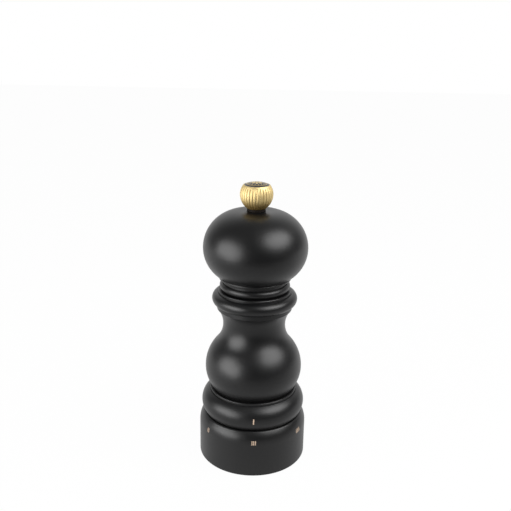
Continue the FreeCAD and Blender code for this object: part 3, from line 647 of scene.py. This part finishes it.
class MILL_OT_turned_wood(Operator):
    """Finish the head, the body and the ring in black satin lacquer, bare inside"""
    bl_idname = "mill.turned_wood"
    bl_label = "Turned Wood"

    # How far a bare zone reaches past the wall of its cut, and how far it stays above the foot's face
    wall_margin = 0.0002
    face_margin = 0.0001

    def execute(self, context):
        finish = context.scene.mill_wood
        seam = top_of("mill_body")
        recess = radius_of("mechanism_housing") + self.wall_margin
        recess_top = top_of("mechanism_housing") + self.wall_margin
        liner = radius_of("ring_liner") + self.wall_margin
        whole = top_of("mill_head")
        zones = {
            "mill_head": [(finish.socket, 0.0, seam)],
            "mill_body": [(finish.socket, 0.0, whole), (recess, 0.0, recess_top)],
            "adjusting_ring": [(liner, self.face_margin, whole)],
        }
        for name, bare in zones.items():
            dress(lacquered_wood(name + "_lacquer", finish, bare), name)
        return {"FINISHED"}


class MILL_OT_knob(Operator):
    """Turn the reeded knob with its cup washer, and finish the brass bushes and the slip washers"""
    bl_idname = "mill.knob"
    bl_label = "Reeded Knob"

    points_per_reed = 10
    # Steps of the side's two curves, of the plain band and of the rim
    lower_steps = 16
    upper_steps = 12
    band_steps = 4
    rim_steps = 5
    # Shares of their depth that the reeds keep on their last steps below the band
    reed_fade = (0.9, 0.62, 0.2)

    def profile(self, knob, disc):
        """Outline from the bore's roof round the side to the disc's seat, as (point, share of reed)."""
        foot = foot_of("knob")
        top = foot + knob.height
        middle = foot + knob.widest
        seat, seat_floor = disc.radius + disc.fit, top - disc.depth
        lower = (knob.radius - knob.lower_curve, middle)
        upper = (knob.radius - knob.upper_curve, middle)
        foot_angle = -math.acos((knob.foot - lower[0]) / knob.lower_curve)
        inner = knob.upper_curve - knob.rim
        rim_angle = math.asin((top - knob.rim - middle) / inner)
        rim = (upper[0] + inner * math.cos(rim_angle), top - knob.rim)
        reed_end = math.asin((top - knob.band - middle) / knob.upper_curve)

        side = arc(lower, knob.lower_curve, foot_angle, 0.0, self.lower_steps)
        side += arc(upper, knob.upper_curve, 0.0, reed_end, self.upper_steps)[1:]
        reeds = [1.0] * (len(side) - len(self.reed_fade)) + list(self.reed_fade)
        underside = side[0][1]
        inside = [(knob.bore, foot + knob.roof), (knob.bore, underside)]
        plain = arc(upper, knob.upper_curve, reed_end, rim_angle, self.band_steps)[1:]
        plain += arc(rim, knob.rim, rim_angle, math.pi / 2, self.rim_steps)[1:]
        plain += [(seat, top), (seat, seat_floor)]
        outline = [(point, 0.0) for point in inside]
        outline += zip(side, reeds)
        return outline + [(point, 0.0) for point in plain]

    def washer(self, knob, underside):
        """Skin of the cup washer, with a rim around the foot of the knob's bush."""
        foot, floor, rim = foot_of("knob_washer"), top_of("knob_washer"), underside - knob.slip
        hole, cup, outer = knob.washer_hole, knob.bore + knob.slip, knob.washer
        edge = knob.washer_edge
        section = [(hole, foot), (outer - edge, foot), (outer, foot + edge), (outer, rim - edge),
                   (outer - edge, rim), (cup, rim), (cup, floor), (hole, floor)]
        return skin([ring_of(radius, z) for radius, z in section], wrap=True)

    def execute(self, context):
        knob = context.scene.mill_knob
        foot = foot_of("knob")
        steps = knob.reeds * self.points_per_reed
        outline = self.profile(knob, context.scene.mill_disc)
        rings, painted_shade = [], []
        for (radius, z), reed in outline:
            # Painted shade for each point: strongest deep between the reeds and over the lowest part of the
            # knob above its foot.
            low = min(max(1.0 - (z - foot) / knob.foot_tarnish, 0.0), 1.0)
            ring = []
            for i in range(steps):
                across = 2.0 * (i % self.points_per_reed) / self.points_per_reed - 1.0
                valley = reed * across * across
                ring.append(polar(radius * (1.0 - knob.reed_depth * valley), math.tau * i / steps, z))
                painted_shade.append(max(knob.valley_tarnish * valley, math.sin(low * math.pi / 2)))
            rings.append(ring)
        piece = make_piece("reeded_knob", [skin(rings)], "knob", gilt_metal(knob))
        piece.data.attributes.new("painted_shade", "FLOAT", "POINT").data.foreach_set("value", painted_shade)
        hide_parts("knob")

        finish = context.scene.mill_mechanism
        brass = bright_metal("turned_brass", finish.brass, low=0.2, high=0.32)
        dress(brass, "knob_insert", "shaft_bush")
        nylon = moulded("slip_nylon", finish.nylon, low=0.6, high=0.7,
                        grain=1800.0, depth=0.000004, gloss=0.12)
        underside = min(z for (_, z), _ in outline)
        cup = make_piece("cup_washer", [self.washer(knob, underside)], "knob_seat", nylon)
        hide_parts("knob_washer")
        dress(nylon, "thrust_washer")
        return {"FINISHED"}


class MILL_OT_knob_disc(Operator):
    """Dome the knob's enamelled disc and inlay a gold rosette, dots and a band"""
    bl_idname = "mill.knob_disc"
    bl_label = "Knob Disc"

    dome_steps = 24
    # The dome is capped just short of its middle.
    dome_end = math.radians(89.0)
    leaf_steps = 10
    # Share of a leaf's length that is cut off at each end
    blunt = 0.02
    # How fast a leaf widens from its ends: a lower power is rounder.
    round_leaf = 0.5
    petal_leaf = 0.8
    # Height above the disc from which rays are cast down on it
    ray_height = 0.001

    def dome(self, disc, knob):
        """Skin of the disc, from its seat in the knob up to the middle of its dome."""
        rim = foot_of("knob") + knob.height
        top = top_of("knob_disc")
        rise = top - rim
        curve = (disc.radius ** 2 + rise ** 2) / (2 * rise)
        edge_angle = math.asin((curve - rise) / curve)
        side = [(disc.radius, rim - disc.depth)]
        side += arc((0.0, top - curve), curve, edge_angle, self.dome_end, self.dome_steps)
        return skin([ring_of(radius, z) for radius, z in side])

    def ray(self, reach, angle):
        """Place above the disc, at a distance from its middle."""
        return polar(reach, angle, top_of("knob_disc") + self.ray_height)

    def leaf(self, angle, start, end, half_width, fullness):
        """Rows of rays over a leaf that lies along an angle, between two distances from the middle."""
        sideways = Vector((math.cos(angle), math.sin(angle), 0.0))
        rows = []
        for i in range(self.leaf_steps + 1):
            along = self.blunt + (1.0 - 2.0 * self.blunt) * i / self.leaf_steps
            place = self.ray(start + (end - start) * along, angle)
            width = half_width * math.sin(math.pi * along) ** fullness
            rows.append([(place + across * width * sideways, DOWN) for across in STRIP])
        return rows

    def band(self, disc):
        """Rows of rays over the outer band."""
        inner, outer = disc.band_radius - disc.band_width, disc.band_radius + disc.band_width
        rows = []
        for i in range(ROUND_STEPS):
            angle = math.tau * i / ROUND_STEPS
            rows.append([(self.ray(reach, angle), DOWN) for reach in (inner, disc.band_radius, outer)])
        return rows

    def execute(self, context):
        disc = context.scene.mill_disc
        dome = self.dome(disc, context.scene.mill_knob)
        domed = make_piece("enamel_disc", [dome], "knob", glossy_enamel(disc))
        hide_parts("knob_disc")

        width = disc.petal_width
        leaves = [self.leaf(0.0, -width, width, width, self.round_leaf)]
        for i in range(disc.petals):
            angle = math.tau * i / disc.petals
            leaves.append(self.leaf(angle, disc.petal_start, disc.petal_end, width, self.petal_leaf))
        for i in range(disc.dots):
            angle = math.tau * (i + 0.5) / disc.dots
            start, end = disc.dot_circle - disc.dot_radius, disc.dot_circle + disc.dot_radius
            leaves.append(self.leaf(angle, start, end, disc.dot_radius, self.round_leaf))
        surface = surface_of(domed)
        skins = [inlay(surface, rows, disc.proud) for rows in leaves]
        skins.append(inlay(surface, self.band(disc), disc.proud, wrap=True))
        gold = bright_metal("inlaid_gold", disc.gold, low=0.24, high=0.34)
        make_piece("disc_rosette", skins, "knob", gold)
        return {"FINISHED"}


class MILL_OT_setting_marks(Operator):
    """Print the tally marks on the ring and the pointer on the body"""
    bl_idname = "mill.setting_marks"
    bl_label = "Setting Marks"

    bar_steps = 12

    def bar(self, surface, azimuth, width, foot, height, proud):
        """Skin of one upright bar on a turned surface."""
        outside = 2 * radius_of("adjusting_ring")
        point = surface.ray_cast(polar(outside, azimuth, foot), -polar(1.0, azimuth, 0.0))[0]
        half_angle = width / 2 / math.hypot(point.x, point.y)
        angles = [azimuth + across * half_angle for across in STRIP]
        rows = []
        for i in range(self.bar_steps + 1):
            z = foot + height * i / self.bar_steps
            rows.append([(polar(outside, angle, z), -polar(1.0, angle, 0.0)) for angle in angles])
        return inlay(surface, rows, proud)

    def execute(self, context):
        marks = context.scene.mill_marks
        ink = mark_print(marks)
        ring = surface_of(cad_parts["adjusting_ring"])
        bar_angle = marks.spacing / radius_of("adjusting_ring")
        skins = []
        for setting in range(1, marks.settings + 1):
            middle = marks.azimuth + (setting - marks.front_setting) * marks.pitch
            for i in range(setting):
                azimuth = middle + (i - (setting - 1) / 2) * bar_angle
                skins.append(self.bar(ring, azimuth, marks.bar, marks.foot, marks.height, marks.proud))
        make_piece("setting_marks", skins, "ring", ink)

        body = surface_of(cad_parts["mill_body"])
        pointer = self.bar(body, marks.pointer_azimuth, marks.pointer_width,
                           marks.pointer_foot, marks.pointer_height, marks.proud)
        make_piece("pointer_mark", [pointer], "body", ink)
        return {"FINISHED"}


class MILL_OT_shaft(Operator):
    """Make the drive shaft with its squares, journal and threads"""
    bl_idname = "mill.shaft"
    bl_label = "Drive Shaft"

    points = 64
    rings_per_turn = 8

    def ring(self, z, reach):
        """Points of a section at a height, where reach gives the radius at an angle."""
        angles = [math.tau * i / self.points for i in range(self.points)]
        return [polar(reach(angle), angle, z) for angle in angles]

    def round_bar(self, radius, foot, top):
        """Rings of a round stretch."""
        return [self.ring(z, lambda angle: radius) for z in (foot, top)]

    def square_bar(self, half, corner, foot, top):
        """Rings of a square stretch with rounded corners."""
        def reach(angle):
            side = half / max(abs(math.sin(angle)), abs(math.cos(angle)))
            return min(side, corner * half * math.sqrt(2))
        return [self.ring(z, reach) for z in (foot, top)]

    def thread(self, radius, pitch, depth, foot, top, chamfers):
        """Rings of a V-shaped thread, run out into chamfers at its lower and upper end."""
        steps = round(self.rings_per_turn * (top - foot) / pitch)
        rings = []
        for i in range(steps + 1):
            z = foot + (top - foot) * i / steps
            limit = min(radius, radius - chamfers[0] + z - foot, radius - chamfers[1] + top - z)

            def reach(angle):
                phase = (z / pitch - angle / math.tau) % 1.0
                return min(limit, radius - depth * abs(2.0 * phase - 1.0))
            rings.append(self.ring(z, reach))
        return rings

    def execute(self, context):
        shaft = context.scene.mill_shaft
        foot, top = foot_of("shaft"), top_of("shaft")
        rotor_foot, rotor_top = foot_of("rotor"), top_of("rotor")
        shoulder = top_of("shaft_bush") + shaft.shoulder
        nut_depth, knob_depth = shaft.thread_depth * shaft.nut_pitch, shaft.thread_depth * shaft.knob_pitch
        rings = self.thread(shaft.nut_thread, shaft.nut_pitch, nut_depth,
                            foot, rotor_foot, (shaft.chamfer, 0.0))
        rings += self.square_bar(shaft.rotor_square, shaft.corner, rotor_foot, rotor_top)
        rings += self.round_bar(shaft.journal, rotor_top, shoulder)
        rings += self.square_bar(shaft.square, shaft.corner, shoulder, shaft.square_top)
        rings += self.thread(shaft.knob_thread, shaft.knob_pitch, knob_depth,
                             shaft.square_top, top, (0.0, shaft.chamfer))
        steel = bright_metal("drawn_steel", context.scene.mill_mechanism.steel, low=0.24, high=0.36)
        piece = make_piece("threaded_shaft", [skin(rings)], "spindle", steel)
        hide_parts("shaft")
        return {"FINISHED"}


class MILL_OT_grinder(Operator):
    """Finish the grinding teeth and coil the spring that holds the rotor down"""
    bl_idname = "mill.grinder"
    bl_label = "Grinder"

    rings_per_turn = 40
    wire_points = 12

    def coil(self, wire, open_turns):
        """Skin of the spring, with one closed, ground turn at each end."""
        low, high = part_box("spring")
        radius = high.x - wire
        closed_rise = 2 * wire
        foot, top = low.z + wire, high.z - wire
        open_rise = (top - foot - 2 * closed_rise) / open_turns
        rings = []
        for i in range(round((open_turns + 2) * self.rings_per_turn) + 1):
            turns = i / self.rings_per_turn
            z = foot + closed_rise * min(turns, 1.0) + closed_rise * max(0.0, turns - 1.0 - open_turns)
            z += open_rise * min(max(turns - 1.0, 0.0), open_turns)
            ring = []
            for k in range(self.wire_points):
                angle = math.tau * k / self.wire_points
                point = polar(radius + wire * math.cos(angle), math.tau * turns, z + wire * math.sin(angle))
                point.z = min(max(point.z, low.z), high.z)
                ring.append(point)
            rings.append(ring)
        return skin(rings)

    def execute(self, context):
        finish = context.scene.mill_mechanism
        dress(hardened_steel(finish), "rotor", "stator")
        zinc = bright_metal("zinc_plate", finish.steel, low=0.22, high=0.38)
        dress(zinc, "rotor_washer", "rotor_nut", "follower_pins", "spring_washer")
        blued = bright_metal("spring_steel", finish.spring_steel, low=0.26, high=0.36)
        coil = self.coil(finish.wire, finish.coil_turns)
        spring = make_piece("coil_spring", [coil], "spindle", blued)
        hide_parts("spring")
        return {"FINISHED"}


class MILL_OT_mechanism(Operator):
    """Finish the housing, the carrier, the liner and what fastens them, with metals from the Grinder step"""
    bl_idname = "mill.mechanism"
    bl_label = "Mechanism"

    def execute(self, context):
        finish = context.scene.mill_mechanism
        black = moulded("moulded_black", finish.moulding, low=0.44, high=0.56)
        dress(black, "mechanism_housing", "bearing_spider", "stator_carrier", "ring_liner")
        zinc = bpy.data.materials["zinc_plate"]
        dress(zinc, "drive_plate", "drive_plate_screws", "housing_screws")
        dress(bpy.data.materials["spring_steel"], "retaining_ring", "click_spring")
        return {"FINISHED"}


class MILL_OT_studio(Operator):
    """Set the floor, the surroundings, two soft boxes and the camera"""
    bl_idname = "mill.studio"
    bl_label = "Studio"

    # Parts of a direction, towards the back and upwards, between which the room brightens
    backdrop_span = (0.2, 1.0)
    ceiling_span = (0.45, 0.95)

    def floor(self, studio):
        """Pale floor that reaches far behind the mill."""
        mesh = bpy.data.meshes.new("floor")
        side, front, back = studio.table_side, -studio.table_front, studio.table_back
        corners = [(-side, front, 0.0), (side, front, 0.0), (side, back, 0.0), (-side, back, 0.0)]
        mesh.from_pydata(corners, [], [(0, 1, 2, 3)])
        mesh.materials.append(floor_paper(studio))
        floor = bpy.data.objects.new("floor", mesh)
        bpy.context.scene.collection.objects.link(floor)

    def surroundings(self, scene, studio):
        """White room that darkens towards the camera's side, with a faint ceiling."""
        scene.world = bpy.data.worlds.new("studio")
        scene.world.use_nodes = True
        tree = scene.world.node_tree
        background = tree.nodes["Background"]
        direction = put(tree, "ShaderNodeTexCoord").outputs["Generated"]
        parts = put(tree, "ShaderNodeSeparateXYZ", {0: direction}).outputs
        room = spread(tree, parts["Y"], *self.backdrop_span, studio.front, studio.back, "SMOOTHSTEP")
        ceiling = spread(tree, parts["Z"], *self.ceiling_span, to_high=studio.ceiling)
        camera = put(tree, "ShaderNodeLightPath").outputs["Is Camera Ray"]
        bright = calc(tree, "MAXIMUM", calc(tree, "ADD", room, ceiling), camera)
        tree.links.new(bright, background.inputs["Strength"])
        background.inputs["Color"].default_value = (1.0, 1.0, 1.0, 1.0)

    def soft_box(self, name, studio, azimuth, rise, height, energy):
        """Soft box that faces the middle of the mill."""
        light = bpy.data.lights.new(name, "AREA")
        light.shape = "ELLIPSE"
        light.size = studio.box_width
        light.size_y = height
        light.energy = energy
        aim = Vector((0.0, 0.0, cad_box[1].z / 2))
        offset = polar(math.cos(rise), azimuth, math.sin(rise))
        lamp = bpy.data.objects.new(name, light)
        facing = offset.to_track_quat("Z", "Y").to_matrix().to_4x4()
        lamp.matrix_world = Matrix.Translation(aim + studio.distance * offset) @ facing
        bpy.context.scene.collection.objects.link(lamp)

    def camera(self, scene, studio):
        """Camera at the photograph's place."""
        lens = bpy.data.cameras.new("camera")
        lens.lens = studio.lens
        camera = bpy.data.objects.new("camera", lens)
        view = Matrix.Rotation(studio.tilt, 4, "X") @ Matrix.Rotation(studio.roll, 4, "Z")
        camera.matrix_world = Matrix.Translation(studio.eye) @ view
        scene.collection.objects.link(camera)
        scene.camera = camera

    def execute(self, context):
        scene, studio = context.scene, context.scene.mill_studio
        scene.view_settings.view_transform = "Standard"
        self.floor(studio)
        self.surroundings(scene, studio)
        self.soft_box("left_box", studio, studio.left_azimuth, studio.left_rise,
                      studio.left_height, studio.left_power)
        self.soft_box("right_box", studio, studio.right_azimuth, studio.right_rise,
                      studio.right_height, studio.right_power)
        self.camera(scene, studio)
        return {"FINISHED"}


SETTINGS = {
    "mill_wood": WoodFinish,
    "mill_knob": KnobShape,
    "mill_disc": DiscDesign,
    "mill_marks": MarkLayout,
    "mill_shaft": ShaftShape,
    "mill_mechanism": MechanismFinish,
    "mill_studio": StudioSetup,
}
STEPS = (
    MILL_OT_turned_wood,
    MILL_OT_knob,
    MILL_OT_knob_disc,
    MILL_OT_setting_marks,
    MILL_OT_shaft,
    MILL_OT_grinder,
    MILL_OT_mechanism,
    MILL_OT_studio,
)


class MILL_PT_looks(Panel):
    """Steps and settings of the mill's looks"""
    bl_idname = "MILL_PT_looks"
    bl_label = "Pepper Mill"
    bl_space_type = "VIEW_3D"
    bl_region_type = "UI"
    bl_category = "Mill"

    def draw(self, context):
        for step in STEPS:
            self.layout.operator(step.bl_idname)
        for name, settings in SETTINGS.items():
            box = self.layout.box()
            box.label(text=settings.__doc__)
            for key in settings.__annotations__:
                box.prop(getattr(context.scene, name), key)


def register():
    for kind in (*SETTINGS.values(), *STEPS, MILL_PT_looks):
        bpy.utils.register_class(kind)
    for name, settings in SETTINGS.items():
        setattr(bpy.types.Scene, name, PointerProperty(type=settings))


def unregister():
    for name in SETTINGS:
        delattr(bpy.types.Scene, name)
    for kind in (MILL_PT_looks, *reversed(STEPS), *reversed(SETTINGS.values())):
        bpy.utils.unregister_class(kind)


def main():
    register()
    bpy.ops.mill.turned_wood()
    bpy.ops.mill.knob()
    bpy.ops.mill.knob_disc()
    bpy.ops.mill.setting_marks()
    bpy.ops.mill.shaft()
    bpy.ops.mill.grinder()
    bpy.ops.mill.mechanism()
    bpy.ops.mill.studio()


if __name__ == "__main__":
    main()
